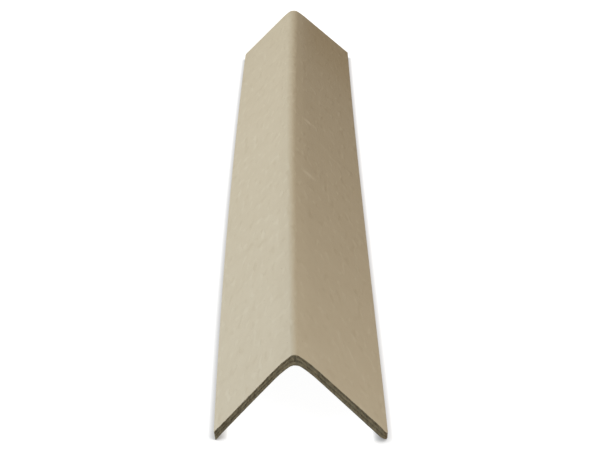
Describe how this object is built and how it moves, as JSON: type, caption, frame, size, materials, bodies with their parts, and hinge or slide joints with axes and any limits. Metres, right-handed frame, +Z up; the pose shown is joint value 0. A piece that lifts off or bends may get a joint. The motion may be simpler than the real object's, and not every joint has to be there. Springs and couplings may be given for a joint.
{
  "type": "pallet edge protector",
  "caption": "Long laminated paperboard angle, folded lengthwise with a softly rounded ridge, that guards the edge of a palletised load and spreads the pull of straps or film.",
  "frame": {"origin": "midway along the board's length and midway across its width, level with the two free edges that it stands on", "axes": "+X across the board towards its wider leg, +Y along its length, +Z up towards the fold"},
  "size_m": [0.073, 0.61, 0.0367],
  "materials": {
    "paperboard": "matt uncoated laminated kraft board"
  },
  "bodies": {
    "root": {"angle_board": "paperboard"}
  },
  "joints": []
}
